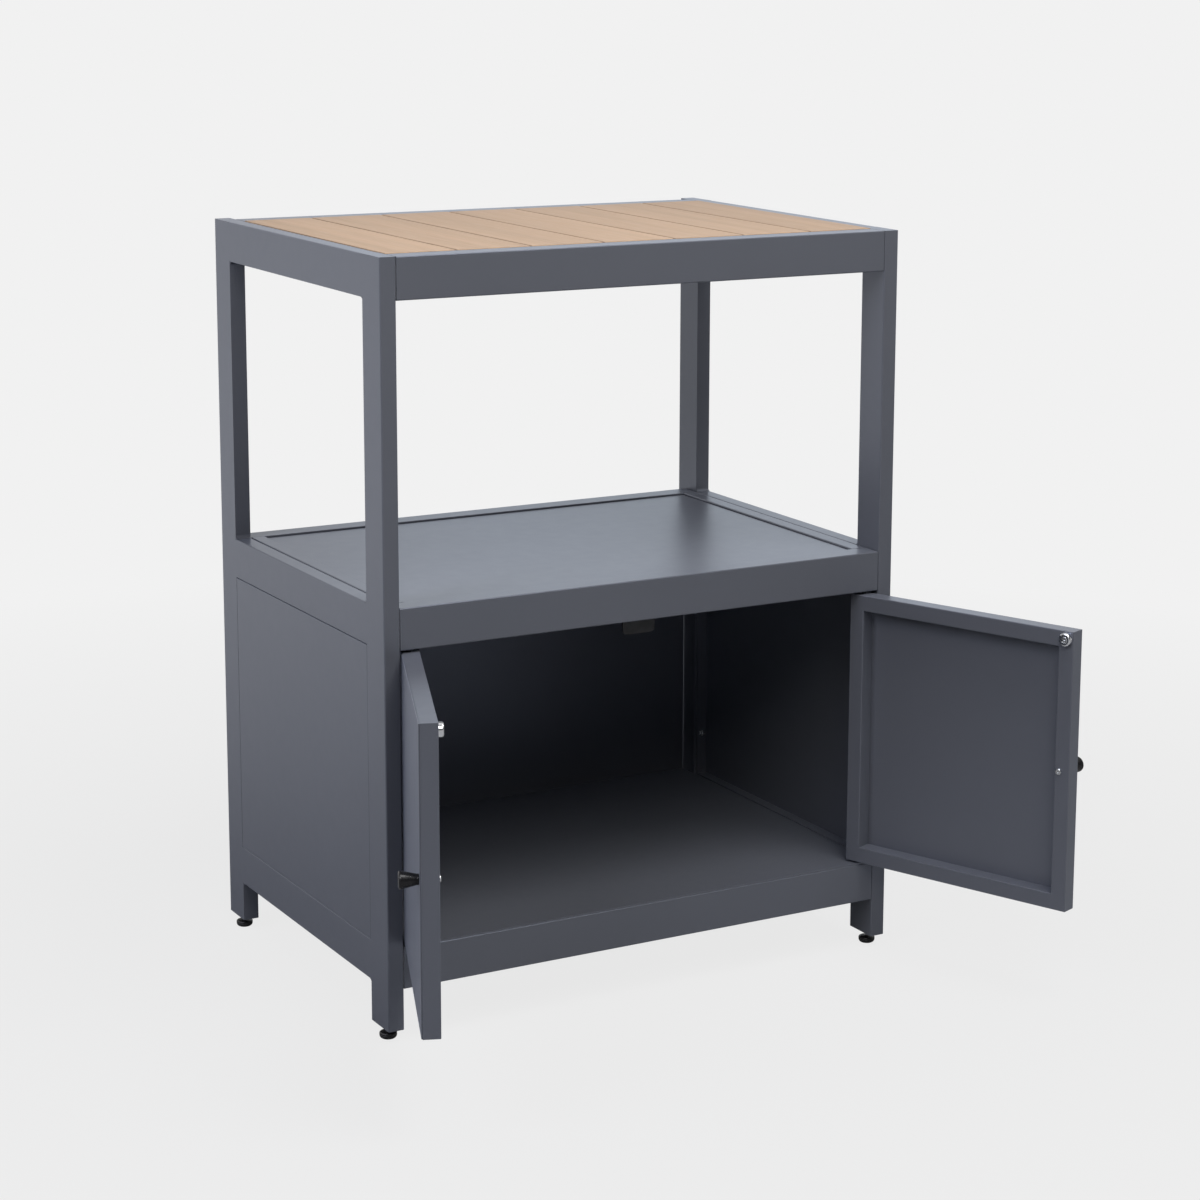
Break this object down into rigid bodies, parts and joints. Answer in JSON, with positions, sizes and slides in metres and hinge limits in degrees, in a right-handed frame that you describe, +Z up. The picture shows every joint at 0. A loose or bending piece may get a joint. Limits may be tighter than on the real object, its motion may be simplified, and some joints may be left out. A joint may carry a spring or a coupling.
{
  "type": "outdoor kitchen cabinet",
  "caption": "Free-standing metal outdoor kitchen cabinet with a slatted wood top, an open bay, a sheet shelf, a cupboard with pivot-hung doors and levelling feet.",
  "frame": {"origin": "on the floor under the middle of the cabinet's four posts", "axes": "+Z up, -Y towards the front with the doors, +X to the right seen from the front"},
  "size_m": [0.9126, 0.787, 0.9288],
  "materials": {
    "powder_coat": "anthracite grey powder coat on aluminium, fine matt texture",
    "bare_aluminium": "bare milled aluminium",
    "wood_slats": "pale brown wood slats, fine straight grain, matt",
    "black_plastic": "black nylon",
    "black_knob": "black plastic with a soft sheen",
    "foot_rubber": "black plastic foot pad",
    "steel_screws": "bright zinc plated steel",
    "chrome_magnet": "bright nickel plated cup magnet"
  },
  "bodies": {
    "cabinet": {"left_front_post": "powder_coat", "left_rear_post": "powder_coat", "left_top_rail": "powder_coat", "left_mid_rail": "powder_coat", "left_bottom_rail": "powder_coat", "left_side_panel": "powder_coat", "right_front_post": "powder_coat", "right_rear_post": "powder_coat", "right_top_rail": "powder_coat", "right_mid_rail": "powder_coat", "right_bottom_rail": "powder_coat", "right_side_panel": "powder_coat", "top_front_rail": "powder_coat", "top_rear_rail": "powder_coat", "shelf_front_rail": "powder_coat", "shelf_rear_rail": "powder_coat", "floor_front_rail": "powder_coat", "floor_rear_rail": "powder_coat", "slat_ledges": "powder_coat", "shelf_side_rails": "powder_coat", "shelf_panel": "powder_coat", "shelf_ledges": "powder_coat", "floor_panel": "powder_coat", "back_panel": "powder_coat", "catch_plate": "powder_coat", "rail_spigots": "bare_aluminium", "slat_1": "wood_slats", "slat_2": "wood_slats", "slat_3": "wood_slats", "slat_4": "wood_slats", "slat_5": "wood_slats", "slat_6": "wood_slats", "slat_7": "wood_slats", "pivot_bushes": "black_plastic", "foot_inserts": "black_plastic", "rail_lock_screws": "steel_screws", "body_screws": "steel_screws"},
    "left_door": {"left_door_frame": "powder_coat", "left_door_skin": "powder_coat", "left_door_knob": "black_knob", "left_door_screws": "steel_screws", "left_door_magnet": "chrome_magnet", "left_door_pivot_pins": "steel_screws", "left_door_pivot_blocks": "bare_aluminium"},
    "right_door": {"right_door_frame": "powder_coat", "right_door_skin": "powder_coat", "right_door_knob": "black_knob", "right_door_screws": "steel_screws", "right_door_magnet": "chrome_magnet", "right_door_pivot_pins": "steel_screws", "right_door_pivot_blocks": "bare_aluminium"},
    "left_front_foot": {"left_front_foot_pad": "foot_rubber", "left_front_foot_stem": "steel_screws"},
    "left_rear_foot": {"left_rear_foot_pad": "foot_rubber", "left_rear_foot_stem": "steel_screws"},
    "right_front_foot": {"right_front_foot_pad": "foot_rubber", "right_front_foot_stem": "steel_screws"},
    "right_rear_foot": {"right_rear_foot_pad": "foot_rubber", "right_rear_foot_stem": "steel_screws"}
  },
  "joints": [
    {"name": "left_door_swing", "type": "hinge", "parent": "cabinet", "child": "left_door", "pos_m": [-0.315, -0.241, 0.296], "axis": [0, 0, -1], "range_deg": [-111.5, 3.5]},
    {"name": "right_door_swing", "type": "hinge", "parent": "cabinet", "child": "right_door", "pos_m": [0.315, -0.241, 0.296], "axis": [0, 0, 1], "range_deg": [-111.5, 3.5]},
    {"name": "left_front_foot_height", "type": "slide", "parent": "cabinet", "child": "left_front_foot", "axis": [0, 0, 1], "range_m": [-0.012, 0.006]},
    {"name": "left_rear_foot_height", "type": "slide", "parent": "cabinet", "child": "left_rear_foot", "axis": [0, 0, 1], "range_m": [-0.012, 0.006]},
    {"name": "right_front_foot_height", "type": "slide", "parent": "cabinet", "child": "right_front_foot", "axis": [0, 0, 1], "range_m": [-0.012, 0.006]},
    {"name": "right_rear_foot_height", "type": "slide", "parent": "cabinet", "child": "right_rear_foot", "axis": [0, 0, 1], "range_m": [-0.012, 0.006]}
  ]
}
